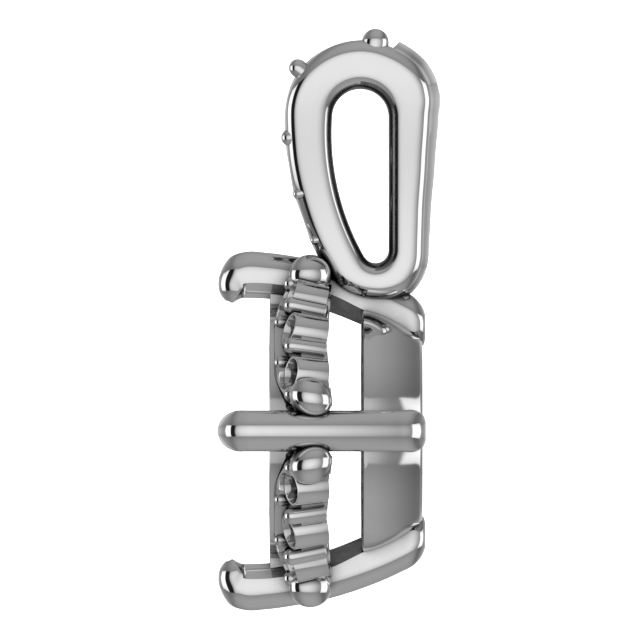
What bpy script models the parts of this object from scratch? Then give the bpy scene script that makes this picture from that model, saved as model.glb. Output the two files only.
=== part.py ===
# Empty halo pendant mount: a teardrop bail soldered to a four-prong head for one
# round stone, with four petals of small seats between the prongs.
#
# The mount lies on its back. +Z is the side the stones face, +Y runs to the bail,
# X runs across. Z = 0 is the back of the bail, X = 0 the plane of symmetry.
# Sizes are in millimetres until a mesh is made, which is in metres.

import math

import bmesh
import bpy
from mathutils import Matrix, Vector

MM = 0.001
WELD = 1e-7

# The head: rings and prongs are placed about its axis, parallel to Z
HEAD_Y = -2.528
TURNED_STEPS = 36

# Base ring, a shallow bowl whose flat back rests on the table
BASE_BACK_Z = 0.40
BASE_FRONT_Z = 1.795
BASE_RADIUS_FRONT = 2.79
BASE_RADIUS_BACK = 2.10
BASE_WALL = 0.72
BASE_CURVE_STEPS = 4
BASE_CURVE_POWER = 1.6

# Gallery ring under the centre stone, its inner front edge cut to the stone's slope
GALLERY_BACK_Z = 2.95
GALLERY_FRONT_Z = 3.89
GALLERY_RADIUS = 2.80
GALLERY_WALL = 0.62
GALLERY_SLOPE = 0.85
BRIDGE_HALF_WIDTH = 0.27
BRIDGE_FLARE = 0.14
BRIDGE_ROOT = 2.62
BRIDGE_ROOT_HALF_WIDTH = 0.44
BRIDGE_REACH = 3.28
BRIDGE_INSET = 0.02

# Prongs: half-round outside, straight flanks, then two flats to a narrow ridge.
# The last sections fold the tip over the stone and close it.
PRONG_HALF_WIDTH = 0.47
PRONG_FLAT_SHARE = 0.62
PRONG_FLAT_WIDTH = 0.29
PRONG_RIDGE_WIDTH = 0.12
PRONG_ROUND_STEPS = 6
PRONG_SECTIONS = (
    # outer z, radius; flank edge z, radius; ridge z, radius; share of the full width
    (0.33, 2.62, 0.33, 2.36, 0.33, 2.08, 0.45),
    (0.37, 2.77, 0.37, 2.34, 0.37, 1.96, 0.72),
    (0.45, 2.90, 0.45, 2.30, 0.45, 1.92, 0.88),
    (0.58, 3.04, 0.58, 2.25, 0.58, 1.95, 1.00),
    (0.93, 3.23, 0.93, 2.40, 0.93, 2.05, 1.00),
    (1.45, 3.46, 1.45, 2.62, 1.45, 2.27, 1.00),
    (1.80, 3.59, 1.80, 2.78, 1.80, 2.42, 1.00),
    (2.48, 3.80, 2.48, 3.10, 2.48, 2.69, 1.00),
    (3.37, 3.98, 3.37, 3.28, 3.37, 2.92, 1.00),
    (3.89, 4.05, 3.89, 3.35, 3.89, 3.00, 1.00),
    (4.45, 4.07, 4.45, 3.35, 4.45, 3.02, 1.00),
    (4.76, 3.96, 4.48, 3.28, 4.52, 3.01, 1.00),
    (4.96, 3.68, 4.53, 3.18, 4.58, 2.98, 1.00),
    (5.04, 3.30, 4.59, 3.09, 4.64, 2.95, 0.98),
    (4.99, 3.14, 4.64, 3.02, 4.67, 2.93, 0.86),
    (4.88, 2.98, 4.68, 2.95, 4.72, 2.91, 0.55),
)

# Halo petals, one between each two prongs, with their front on a cone that
# falls back outward. Angles are measured from the nearer prong.
PETAL_FRONT_Z = 3.88
PETAL_SLOPE = 0.53
PETAL_INNER_RADIUS = 2.61
PETAL_INNER_BOW = 0.07
PETAL_HALF_LENGTH = 2.05
PETAL_OUTER_RADIUS = 3.42
PETAL_BACK_Z = 2.62
PETAL_BACK_DROP = 0.16
PETAL_LEAN = 0.25
PETAL_POINTS = 8
# How far a collet or a bore is first drawn past the petal's front and back
PETAL_ALLOWANCE = 0.35

COLLETS = (
    # angle, distance of the centre from the head's axis, radius, bore radius
    (23.0, 3.35, 0.48, 0.37),
    (45.0, 3.26, 0.50, 0.40),
    (67.0, 3.35, 0.48, 0.37),
)
COLLET_SIDES = 12
SEAT_SIDES = 12

COLUMN_ANGLES = (33.7, 56.3)
COLUMN_CENTRE = 3.52
COLUMN_RADIUS = 0.16
COLUMN_TIP_Z = 3.52
BEAD_ANGLES = (31.8, 58.2)
BEAD_CENTRE = 2.89
BEAD_RADIUS = 0.135
BEAD_TIP_Z = 3.79
BEAD_ROOT_Z = 3.48
END_BEAD_ANGLES = (14.0, 76.0)
END_BEAD_CENTRE = 3.49
END_BEAD_RADIUS = 0.14
END_BEAD_TIP_Z = 3.55
POST_SIDES = 6

BALL_ANGLE = 12.2
BALL_CENTRE = 3.62
BALL_Z = 2.94
BALL_RADIUS = 0.495
BALL_SIDES = 12
BALL_RINGS = 8

# Bail: a band around a teardrop eye. The eye is two arcs joined by a straight
# back and a long bowed front, all tangent to each other.
EYE_TOP_Y, EYE_TOP_Z, EYE_TOP_RADIUS = 4.60, 1.81, 0.64
EYE_LOW_Y, EYE_LOW_Z, EYE_LOW_RADIUS = 1.585, 1.465, 0.295
EYE_BOW_RADIUS = 5.68
EYE_BOW_TOP_ANGLE = 85.9
EYE_BOW_LOW_ANGLE = 119.6
# The band round the eye. The run goes from 0 at the top of the eye down the
# back, 1 is near the foot, and up the front to 2 at the top again. The back is
# left full and crowned, the front is cut down flush for the stones, and the
# step between them is just behind the top.
BAIL_BAND = (
    # run, thickness, height of the crown, rounding of the outer edges
    (0.000, 1.125, 0.00, 0.23),
    (0.062, 1.114, 0.00, 0.23),
    (0.067, 1.298, 0.20, 0.19),
    (0.122, 1.320, 0.20, 0.18),
    (0.151, 1.298, 0.20, 0.18),
    (0.177, 1.248, 0.20, 0.18),
    (0.218, 1.141, 0.19, 0.18),
    (0.453, 1.057, 0.17, 0.16),
    (0.695, 0.966, 0.15, 0.14),
    (0.887, 0.921, 0.13, 0.13),
    (0.945, 0.985, 0.12, 0.20),
    (0.991, 0.866, 0.05, 0.20),
    (1.015, 0.850, 0.00, 0.22),
    (1.049, 0.912, 0.00, 0.23),
    (1.323, 0.975, 0.00, 0.23),
    (1.638, 1.060, 0.00, 0.23),
    (1.860, 1.114, 0.00, 0.23),
    (2.000, 1.125, 0.00, 0.23),
)
BAIL_INNER_ROUND = 0.21
BAIL_ROUND_STEPS = 3
BAIL_CROWN_SHARE = 0.55
BAIL_HALF_WIDTH_TOP = 1.25
BAIL_HALF_WIDTH_LOW = 0.80
BAIL_TOP_Y = 5.50
BAIL_LOW_Y = 0.42
TOP_STATIONS = 8
BACK_STATIONS = 6
LOW_STATIONS = 9
BOW_STATIONS = 9

# Raised beads at the sides of the bail's stones, in pairs
BAIL_BEADS = (
    # y, z, radius, half spacing
    (6.31, 1.47, 0.305, 0.86),
    (5.72, 3.23, 0.205, 0.92),
    (4.14, 3.42, 0.190, 0.84),
    (2.86, 3.25, 0.140, 0.75),
    (1.81, 2.87, 0.115, 0.66),
)
# Seats for the bail's stones: centre on the surface, the way the seat faces
# (angle from +Y towards +Z) and the width of the seat
BAIL_SEATS = (
    # y, z, facing, width
    (6.25, 2.41, 25.0, 1.60),
    (4.95, 3.50, 82.0, 1.34),
    (3.49, 3.44, 97.0, 1.14),
    (2.31, 3.11, 108.0, 0.92),
)
SEAT_DEPTH = 0.42
SEAT_LIP = 0.12
SEAT_THROUGH_SHARE = 0.55
SEAT_REACH = 0.75

METAL_COLOUR = (0.80, 0.80, 0.81, 1.0)
METAL_ROUGHNESS = 0.12


def clear_scene():
    for item in list(bpy.data.objects):
        bpy.data.objects.remove(item, do_unlink=True)


def new_collection(name):
    collection = bpy.data.collections.new(name)
    bpy.context.scene.collection.children.link(collection)
    return collection


def metal_material():
    material = bpy.data.materials.new("polished_white_metal")
    material.use_nodes = True
    shader = material.node_tree.nodes["Principled BSDF"]
    shader.inputs["Base Color"].default_value = METAL_COLOUR
    shader.inputs["Metallic"].default_value = 1.0
    shader.inputs["Roughness"].default_value = METAL_ROUGHNESS
    return material


def add_mesh(name, mesh_data, collection):
    """Put bmesh data, still in millimetres, in an object measured in metres.

    Its faces are made triangles, so that each is flat when the pieces are joined."""
    bmesh.ops.triangulate(mesh_data, faces=mesh_data.faces)
    bmesh.ops.recalc_face_normals(mesh_data, faces=mesh_data.faces)
    bmesh.ops.scale(mesh_data, vec=(MM, MM, MM), verts=mesh_data.verts)
    mesh = bpy.data.meshes.new(name)
    mesh_data.to_mesh(mesh)
    mesh_data.free()
    mesh.shade_smooth()
    item = bpy.data.objects.new(name, mesh)
    collection.objects.link(item)
    return item


def bar_through(sections):
    """A closed bar through sections that all have the same number of points."""
    data = bmesh.new()
    rings = [[data.verts.new(point) for point in section] for section in sections]
    count = len(rings[0])
    for ring, following in zip(rings, rings[1:]):
        for i in range(count):
            j = (i + 1) % count
            data.faces.new((ring[i], ring[j], following[j], following[i]))
    data.faces.new(rings[0])
    data.faces.new(rings[-1])
    return data


def band_through(sections):
    """A closed loop of band through sections that run round an eye."""
    data = bmesh.new()
    rings = [[data.verts.new(point) for point in section] for section in sections]
    count = len(rings[0])
    for i, ring in enumerate(rings):
        following = rings[(i + 1) % len(rings)]
        for a in range(count):
            b = (a + 1) % count
            data.faces.new((ring[a], ring[b], following[b], following[a]))
    return data


def about_head(radius, angle, z):
    """A point at an angle from the prong at +X, about the head's axis."""
    turn = math.radians(angle)
    return Vector((radius * math.cos(turn), HEAD_Y + radius * math.sin(turn), z))


def turned_about_head(name, profile, collection):
    """A ring turned from a closed profile of (radius, z) points."""
    mesh = bpy.data.meshes.new(name)
    points = [(radius * MM, 0.0, z * MM) for radius, z in profile]
    edges = [(i, (i + 1) % len(profile)) for i in range(len(profile))]
    mesh.from_pydata(points, edges, [])
    item = bpy.data.objects.new(name, mesh)
    item.location = (0.0, HEAD_Y * MM, 0.0)
    collection.objects.link(item)
    screw = item.modifiers.new("turn", "SCREW")
    screw.axis = "Z"
    screw.angle = math.tau
    screw.steps = TURNED_STEPS
    screw.render_steps = TURNED_STEPS
    screw.use_merge_vertices = True
    screw.merge_threshold = WELD
    return item


def base_ring_profile():
    """Outer side down the bowl, then the flat back and the inner side up again."""
    outer = []
    for i in range(BASE_CURVE_STEPS + 1):
        share = i / BASE_CURVE_STEPS
        z = BASE_FRONT_Z + (BASE_BACK_Z - BASE_FRONT_Z) * share
        radius = BASE_RADIUS_FRONT + (BASE_RADIUS_BACK - BASE_RADIUS_FRONT) * share ** BASE_CURVE_POWER
        outer.append((radius, z))
    inner = [(radius - BASE_WALL, z) for radius, z in reversed(outer)]
    return outer + inner


def gallery_ring_profile():
    inner = GALLERY_RADIUS - GALLERY_WALL
    return [
        (GALLERY_RADIUS, GALLERY_FRONT_Z),
        (GALLERY_RADIUS, GALLERY_BACK_Z),
        (inner, GALLERY_BACK_Z),
        (inner, GALLERY_FRONT_Z - GALLERY_WALL * GALLERY_SLOPE),
    ]


def prong_section(row, angle):
    """One section of a prong, from its outer side round to its inner ridge."""
    turn = math.radians(angle)
    outward = Vector((math.cos(turn), math.sin(turn), 0.0))
    across = Vector((-math.sin(turn), math.cos(turn), 0.0))
    axis = Vector((0.0, HEAD_Y, 0.0))
    up = Vector((0.0, 0.0, 1.0))
    outer_z, outer_r, flank_z, flank_r, ridge_z, ridge_r, share = row
    outer = axis + outward * outer_r + up * outer_z
    flank = axis + outward * flank_r + up * flank_z
    ridge = axis + outward * ridge_r + up * ridge_z
    half_width = PRONG_HALF_WIDTH * share
    inward = (flank - outer).normalized()

    half = []
    for i in range(PRONG_ROUND_STEPS // 2 + 1):
        curve = math.pi * i / PRONG_ROUND_STEPS
        sunk = min(half_width, (flank - outer).length) * (1.0 - math.cos(curve))
        half.append((outer + inward * sunk, half_width * math.sin(curve)))
    half.append((flank, half_width))
    half.append((flank.lerp(ridge, PRONG_FLAT_SHARE), PRONG_FLAT_WIDTH * share))
    half.append((ridge, PRONG_RIDGE_WIDTH * share))
    far_side = [(place, -width) for place, width in reversed(half[1:])]
    return [place + across * width for place, width in half + far_side]


def add_prong(index, collection):
    sections = [prong_section(row, 90.0 * index) for row in PRONG_SECTIONS]
    add_mesh(f"prong_{index}", bar_through(sections), collection)


def add_bridge(index, collection):
    """The short web that ties a prong to the gallery ring, flared where it meets the ring."""
    along = Matrix.Rotation(0.5 * math.pi * index, 3, "Z")
    sections = []
    for z in (GALLERY_BACK_Z + BRIDGE_INSET, GALLERY_FRONT_Z - BRIDGE_INSET):
        half = [
            (BRIDGE_ROOT, BRIDGE_ROOT_HALF_WIDTH),
            (GALLERY_RADIUS, BRIDGE_ROOT_HALF_WIDTH),
            (GALLERY_RADIUS + BRIDGE_FLARE, BRIDGE_HALF_WIDTH),
            (BRIDGE_REACH, BRIDGE_HALF_WIDTH),
        ]
        outline = half + [(x, -y) for x, y in reversed(half)]
        sections.append([along @ Vector((x, y, z)) for x, y in outline])
    data = bar_through(sections)
    bmesh.ops.translate(data, vec=(0.0, HEAD_Y, 0.0), verts=data.verts)
    add_mesh(f"bridge_{index}", data, collection)


def petal_front_z(radius):
    return PETAL_FRONT_Z - PETAL_SLOPE * (radius - PETAL_INNER_RADIUS)


def petal_outline():
    """The petal's lens seen from the front, about the line midway between prongs."""
    inner = []
    for i in range(PETAL_POINTS + 1):
        along = PETAL_HALF_LENGTH * (2.0 * i / PETAL_POINTS - 1.0)
        share = along / PETAL_HALF_LENGTH
        inner.append((PETAL_INNER_RADIUS + PETAL_INNER_BOW * 4.0 * share ** 2, along))
    end = math.atan2(inner[-1][1], inner[-1][0])
    outer = []
    for i in range(1, PETAL_POINTS):
        turn = end * (1.0 - 2.0 * i / PETAL_POINTS)
        outer.append((PETAL_OUTER_RADIUS * math.cos(turn), PETAL_OUTER_RADIUS * math.sin(turn)))
    return inner + outer


def leaning_post(centre_radius, angle, radius, top_z, back_z, sides, domed):
    """A round post whose back end leans in to the head's axis."""
    depth = top_z - back_z
    levels = [(0.0, 1.0), (depth, 1.0)]
    if domed:
        levels = [(0.0, 0.45), (0.3 * radius, 0.85), (radius, 1.0), (depth, 1.0)]
    sections = []
    for drop, share in levels:
        centre = about_head(centre_radius - PETAL_LEAN * drop, angle, top_z - drop)
        ring = []
        for i in range(sides):
            turn = math.tau * i / sides
            ring.append(centre + Vector((math.cos(turn), math.sin(turn), 0.0)) * radius * share)
        sections.append(ring)
    return bar_through(sections)


def add_petal(index, collection):
    start = 90.0 * index
    middle = Matrix.Rotation(math.radians(start + 45.0), 3, "Z")
    front, back = [], []
    for x, y in petal_outline():
        radius = math.hypot(x, y)
        near_end = abs(y) / PETAL_HALF_LENGTH
        back_z = PETAL_BACK_Z - PETAL_BACK_DROP * near_end
        depth = petal_front_z(radius) - back_z
        shrink = 1.0 - PETAL_LEAN * depth / radius
        front.append(middle @ Vector((x, y, petal_front_z(radius))))
        back.append(middle @ Vector((x * shrink, y * shrink, back_z)))
    data = bar_through([front, back])
    bmesh.ops.translate(data, vec=(0.0, HEAD_Y, 0.0), verts=data.verts)
    add_mesh(f"petal_{index}", data, collection)

    for n, (angle, centre, radius, _) in enumerate(COLLETS):
        post = leaning_post(centre + PETAL_LEAN * PETAL_ALLOWANCE, start + angle, radius,
                            PETAL_FRONT_Z + PETAL_ALLOWANCE, PETAL_BACK_Z, COLLET_SIDES, False)
        for vert in post.verts:
            if vert.co.z > PETAL_FRONT_Z:
                radius = math.hypot(vert.co.x, vert.co.y - HEAD_Y)
                inward = PETAL_LEAN * (vert.co.z - petal_front_z(radius)) / radius
                vert.co.z = petal_front_z(radius)
                vert.co.x -= vert.co.x * inward
                vert.co.y -= (vert.co.y - HEAD_Y) * inward
        add_mesh(f"collet_{index}_{n}", post, collection)

    posts = (
        ("column", COLUMN_ANGLES, COLUMN_CENTRE, COLUMN_RADIUS, COLUMN_TIP_Z, PETAL_BACK_Z),
        ("bead", BEAD_ANGLES, BEAD_CENTRE, BEAD_RADIUS, BEAD_TIP_Z, BEAD_ROOT_Z),
        ("end_bead", END_BEAD_ANGLES, END_BEAD_CENTRE, END_BEAD_RADIUS, END_BEAD_TIP_Z, BALL_Z),
    )
    for kind, angles, centre, radius, tip_z, back_z in posts:
        for n, angle in enumerate(angles):
            post = leaning_post(centre, start + angle, radius, tip_z, back_z, POST_SIDES, True)
            add_mesh(f"{kind}_{index}_{n}", post, collection)

    for n, angle in enumerate((BALL_ANGLE, 90.0 - BALL_ANGLE)):
        ball = bmesh.new()
        bmesh.ops.create_uvsphere(ball, u_segments=BALL_SIDES, v_segments=BALL_RINGS,
                                  radius=BALL_RADIUS)
        bmesh.ops.translate(ball, vec=about_head(BALL_CENTRE, start + angle, BALL_Z),
                            verts=ball.verts)
        add_mesh(f"ball_{index}_{n}", ball, collection)


def add_petal_seats(index, cutters):
    """The open seats, cut right through the petal."""
    for n, (angle, centre, _, bore_radius) in enumerate(COLLETS):
        bore = leaning_post(centre + PETAL_LEAN * PETAL_ALLOWANCE, 90.0 * index + angle,
                            bore_radius, PETAL_FRONT_Z + PETAL_ALLOWANCE,
                            PETAL_BACK_Z - PETAL_ALLOWANCE, SEAT_SIDES, False)
        add_mesh(f"petal_seat_{index}_{n}", bore, cutters)


def eye_outline():
    """Points round the eye with the way out of it and the run, from 0 to 2."""
    top = Vector((EYE_TOP_Y, EYE_TOP_Z))
    low = Vector((EYE_LOW_Y, EYE_LOW_Z))

    def arc_point(centre, radius, angle):
        turn = math.radians(angle)
        way = Vector((math.cos(turn), math.sin(turn)))
        return centre + way * radius, way

    # Angles run from +Y towards +Z, so the back of the bail lies at -90
    stations = []
    for i in range(TOP_STATIONS):
        stations.append(arc_point(top, EYE_TOP_RADIUS, -90.0 * i / TOP_STATIONS))
    back_top = arc_point(top, EYE_TOP_RADIUS, -90.0)
    back_low = arc_point(low, EYE_LOW_RADIUS, -90.0)
    for i in range(BACK_STATIONS):
        share = i / BACK_STATIONS
        stations.append((back_top[0].lerp(back_low[0], share), back_top[1]))
    low_end = EYE_BOW_LOW_ANGLE - 360.0
    for i in range(LOW_STATIONS):
        share = i / LOW_STATIONS
        stations.append(arc_point(low, EYE_LOW_RADIUS, -90.0 + (low_end + 90.0) * share))
    bow_end = arc_point(top, EYE_TOP_RADIUS, EYE_BOW_TOP_ANGLE)
    bow_centre = bow_end[0] - bow_end[1] * EYE_BOW_RADIUS
    for i in range(BOW_STATIONS):
        share = i / BOW_STATIONS
        angle = EYE_BOW_LOW_ANGLE + (EYE_BOW_TOP_ANGLE - EYE_BOW_LOW_ANGLE) * share
        stations.append(arc_point(bow_centre, EYE_BOW_RADIUS, angle))
    for i in range(TOP_STATIONS):
        share = i / TOP_STATIONS
        angle = EYE_BOW_TOP_ANGLE * (1.0 - share)
        stations.append(arc_point(top, EYE_TOP_RADIUS, angle))

    lengths = [0.0]
    for (here, _), (there, _) in zip(stations, stations[1:]):
        lengths.append(lengths[-1] + (there - here).length)
    total = lengths[-1] + (stations[0][0] - stations[-1][0]).length
    return [(point, way, 2.0 * length / total) for (point, way), length in zip(stations, lengths)]


def band_at(run):
    """Thickness, crown and edge rounding of the bail's band, read from its table."""
    for low, high in zip(BAIL_BAND, BAIL_BAND[1:]):
        if low[0] <= run <= high[0]:
            share = (run - low[0]) / (high[0] - low[0])
            return tuple(a + (b - a) * share for a, b in zip(low[1:], high[1:]))
    return BAIL_BAND[-1][1:]


def bail_half_width(y):
    share = (y - BAIL_LOW_Y) / (BAIL_TOP_Y - BAIL_LOW_Y)
    share = min(max(share, 0.0), 1.0)
    return BAIL_HALF_WIDTH_LOW + (BAIL_HALF_WIDTH_TOP - BAIL_HALF_WIDTH_LOW) * share


def bail_section(point, way, thickness, crown, edge_round):
    """A section of the band across X: the eye's side, rounded edges and outside."""
    width = bail_half_width(point.x + way.x * 0.5 * thickness)
    shoulder = thickness - crown
    half = [(0.0, 0.0)]
    for i in range(BAIL_ROUND_STEPS + 1):
        turn = 0.5 * math.pi * i / BAIL_ROUND_STEPS
        half.append((width - BAIL_INNER_ROUND * (1.0 - math.sin(turn)),
                     BAIL_INNER_ROUND * (1.0 - math.cos(turn))))
    for i in range(BAIL_ROUND_STEPS + 1):
        turn = 0.5 * math.pi * i / BAIL_ROUND_STEPS
        half.append((width - edge_round * (1.0 - math.cos(turn)),
                     shoulder - edge_round * (1.0 - math.sin(turn))))
    top_width = width - edge_round
    half.append((BAIL_CROWN_SHARE * top_width,
                 shoulder + crown * (1.0 - BAIL_CROWN_SHARE ** 2)))
    half.append((0.0, thickness))
    whole = half + [(-x, out) for x, out in reversed(half[1:-1])]
    section = []
    for x, out in whole:
        place = point + way * out
        section.append(Vector((x, place.x, place.y)))
    return section


def add_bail(collection, cutters):
    stations = eye_outline()
    step_runs = [row[0] for row in BAIL_BAND[1:3]]
    sections = []
    for i, (point, way, run) in enumerate(stations):
        sections.append(bail_section(point, way, *band_at(run)))
        following = stations[i + 1][2] if i + 1 < len(stations) else 2.0
        for step in step_runs:
            if run < step < following:
                share = (step - run) / (following - run)
                place = point.lerp(stations[i + 1][0], share)
                facing = way.lerp(stations[i + 1][1], share).normalized()
                sections.append(bail_section(place, facing, *band_at(step)))
    add_mesh("bail", band_through(sections), collection)

    for n, (y, z, radius, spacing) in enumerate(BAIL_BEADS):
        for side in (-1, 1):
            bead = bmesh.new()
            bmesh.ops.create_uvsphere(bead, u_segments=10, v_segments=7, radius=radius)
            bmesh.ops.translate(bead, vec=(side * spacing, y, z), verts=bead.verts)
            add_mesh(f"bail_bead_{n}_{side}", bead, collection)

    for n, (y, z, facing, width) in enumerate(BAIL_SEATS):
        turn = math.radians(facing)
        way = Vector((0.0, math.cos(turn), math.sin(turn)))
        side = Vector((1.0, 0.0, 0.0))
        along = way.cross(side)
        radius = 0.5 * width
        levels = (
            (-SEAT_REACH, radius),
            (SEAT_LIP, radius),
            (SEAT_DEPTH, radius * SEAT_THROUGH_SHARE),
            (1.0 + SEAT_REACH, radius * SEAT_THROUGH_SHARE),
        )
        sections = []
        for depth, size in levels:
            centre = Vector((0.0, y, z)) - way * depth
            ring = []
            for i in range(SEAT_SIDES):
                angle = math.tau * i / SEAT_SIDES
                ring.append(centre + (side * math.cos(angle) + along * math.sin(angle)) * size)
            sections.append(ring)
        add_mesh(f"bail_seat_{n}", bar_through(sections), cutters)


def hide_helpers(collection):
    for item in collection.objects:
        item.hide_render = True
        item.display_type = "WIRE"


def join_all(body, collection, operation, name):
    step = body.modifiers.new(name, "BOOLEAN")
    step.operation = operation
    step.solver = "EXACT"
    step.operand_type = "COLLECTION"
    step.collection = collection


def main():
    clear_scene()
    mount = new_collection("pendant_mount")
    pieces = new_collection("soldered_pieces")
    cutters = new_collection("cutters")

    body = turned_about_head("pendant_mount", base_ring_profile(), mount)
    turned_about_head("gallery_ring", gallery_ring_profile(), pieces)
    for index in range(4):
        add_prong(index, pieces)
        add_bridge(index, pieces)
        add_petal(index, pieces)
        add_petal_seats(index, cutters)
    add_bail(pieces, cutters)

    join_all(body, pieces, "UNION", "solder")
    join_all(body, cutters, "DIFFERENCE", "cut_seats")
    body.data.materials.append(metal_material())
    hide_helpers(pieces)
    hide_helpers(cutters)


main()
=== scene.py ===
import math

import bmesh
import bpy
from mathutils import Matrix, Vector


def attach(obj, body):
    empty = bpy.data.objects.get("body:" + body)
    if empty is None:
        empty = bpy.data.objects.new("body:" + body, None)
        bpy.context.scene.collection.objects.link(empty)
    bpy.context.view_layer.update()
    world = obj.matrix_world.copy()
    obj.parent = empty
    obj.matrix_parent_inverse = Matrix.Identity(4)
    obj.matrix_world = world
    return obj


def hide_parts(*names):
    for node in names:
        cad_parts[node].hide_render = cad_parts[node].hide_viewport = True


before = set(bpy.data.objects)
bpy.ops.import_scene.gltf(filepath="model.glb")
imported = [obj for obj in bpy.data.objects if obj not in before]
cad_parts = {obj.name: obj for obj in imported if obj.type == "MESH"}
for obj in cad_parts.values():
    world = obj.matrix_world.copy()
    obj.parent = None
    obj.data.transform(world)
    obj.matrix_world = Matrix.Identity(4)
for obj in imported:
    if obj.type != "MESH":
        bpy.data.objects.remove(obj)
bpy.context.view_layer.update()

# The mount lies on its back: +Z is the side the stones face, +Y runs to the bail.
# Sizes are in millimetres, angles in degrees.

mm = 0.001
headY = -2.528  # the head's axis runs along Z through this Y
print("frame loaded")


# tools

def toObjectMode():
    if bpy.context.mode != "OBJECT":
        bpy.ops.object.mode_set(mode="OBJECT")


def pick(*pieces):
    toObjectMode()
    bpy.ops.object.select_all(action="DESELECT")
    for piece in pieces:
        piece.select_set(True)
    bpy.context.view_layer.objects.active = pieces[0]


def startFresh():
    toObjectMode()
    bpy.ops.object.select_all(action="DESELECT")


def editOf(piece):
    pick(piece)
    bpy.ops.object.mode_set(mode="EDIT")
    return bmesh.from_edit_mesh(piece.data)


def selectFaces(piece, wanted):
    bpy.ops.mesh.select_mode(type="FACE")
    bpy.ops.mesh.select_all(action="DESELECT")
    mesh = bmesh.from_edit_mesh(piece.data)
    for face in mesh.faces:
        face.select = wanted(face)
    mesh.select_flush_mode()
    bmesh.update_edit_mesh(piece.data)


def closeUp(piece):  # merge doubles, close the ends, turn all faces outwards
    bpy.ops.mesh.select_all(action="SELECT")
    bpy.ops.mesh.remove_doubles(threshold=0.0005 * mm)
    bpy.ops.mesh.fill_holes(sides=0)
    bpy.ops.mesh.select_all(action="SELECT")
    bpy.ops.mesh.normals_make_consistent(inside=False)
    toObjectMode()
    bpy.ops.object.transform_apply(location=True, rotation=True, scale=True)


def addModifier(piece, kind, **settings):
    pick(piece)
    step = piece.modifiers.new(kind.lower(), kind)
    for key, value in settings.items():
        setattr(step, key, value)
    bpy.ops.object.modifier_apply(modifier=step.name)


def softenEdges(piece, width, angle=38, segments=2):
    addModifier(piece, "BEVEL", width=width * mm, segments=segments, limit_method="ANGLE",
                angle_limit=math.radians(angle), miter_outer="MITER_ARC", use_clamp_overlap=True)


def shade(piece, angle=32):
    pick(piece)
    bpy.ops.object.shade_smooth_by_angle(angle=math.radians(angle))
    addModifier(piece, "WEIGHTED_NORMAL", keep_sharp=True, weight=60)


def joined(name, pieces):
    pick(*pieces)
    if len(pieces) > 1:
        bpy.ops.object.join()
    piece = bpy.context.view_layer.objects.active
    piece.name = name
    piece.data.name = name
    return piece


def copyTurned(piece, name, degrees):  # a copy with its own mesh, turned about the head's axis
    pick(piece)
    bpy.ops.object.duplicate(linked=False)
    copy = bpy.context.view_layer.objects.active
    copy.name = name
    bpy.ops.transform.rotate(value=math.radians(degrees), orient_axis="Z",
                             center_override=(0.0, headY * mm, 0.0))
    bpy.ops.object.transform_apply(location=True, rotation=True, scale=True)
    return copy


def onHead(radius, angle, z):  # angle from the prong at +X
    turn = math.radians(angle)
    return Vector((radius * math.cos(turn), headY + radius * math.sin(turn), z))


def sweep(name, sections, closed=False):  # a skin pulled from section to section
    startFresh()
    count = len(sections[0])
    bpy.ops.mesh.primitive_circle_add(vertices=count, radius=mm)
    piece = bpy.context.object
    piece.name = name
    sections = [[point * mm for point in section] for section in sections]
    if closed:
        sections.append(sections[0])
    mesh = editOf(piece)
    bpy.ops.mesh.select_all(action="SELECT")
    for vert, point in zip(mesh.verts, sections[0]):
        vert.co = point
    bmesh.update_edit_mesh(piece.data)
    for here, there in zip(sections, sections[1:]):
        bpy.ops.mesh.extrude_region()
        mesh = bmesh.from_edit_mesh(piece.data)
        for vert in (v for v in mesh.verts if v.select):
            nearest = min(range(count), key=lambda i: (vert.co - here[i]).length_squared)
            vert.co = there[nearest]
        bmesh.update_edit_mesh(piece.data)
    closeUp(piece)
    return piece


def turnRound(name, profile, steps):  # a ring spun from a closed outline of (radius, z)
    startFresh()
    bpy.ops.mesh.primitive_circle_add(vertices=len(profile), radius=mm)
    piece = bpy.context.object
    piece.name = name
    mesh = editOf(piece)
    bpy.ops.mesh.select_all(action="SELECT")
    for vert, (radius, z) in zip(mesh.verts, profile):
        vert.co = Vector((radius, headY, z)) * mm
    bmesh.update_edit_mesh(piece.data)
    bpy.ops.mesh.spin(steps=steps, angle=math.tau, center=(0.0, headY * mm, 0.0),
                      axis=(0.0, 0.0, 1.0))
    closeUp(piece)
    return piece


def pullOut(name, start, way, levels, sides):  # a disc extruded and scaled level by level
    startFresh()
    way = way.normalized()
    depth, radius = levels[0]
    centre = (start + way * depth) * mm
    bpy.ops.mesh.primitive_circle_add(vertices=sides, radius=radius * mm, fill_type="NGON",
                                      location=centre, rotation=way.to_track_quat("Z", "Y").to_euler())
    piece = bpy.context.object
    piece.name = name
    editOf(piece)
    bpy.ops.mesh.select_all(action="SELECT")
    for (here, size), (there, nextSize) in zip(levels, levels[1:]):
        bpy.ops.mesh.extrude_region_move(TRANSFORM_OT_translate={"value": way * (there - here) * mm})
        centre += way * (there - here) * mm
        bpy.ops.transform.resize(value=(nextSize / size,) * 3, center_override=centre)
    closeUp(piece)
    return piece


def domeLevels(radius, length, steps=7):  # a round end, then a straight stem of that length
    levels = []
    for i in range(steps + 1):
        turn = 0.5 * math.pi * (0.06 + 0.94 * i / steps)
        levels.append((radius * (1.0 - math.cos(turn)), radius * math.sin(turn)))
    return levels + [(length, radius)]


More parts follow.
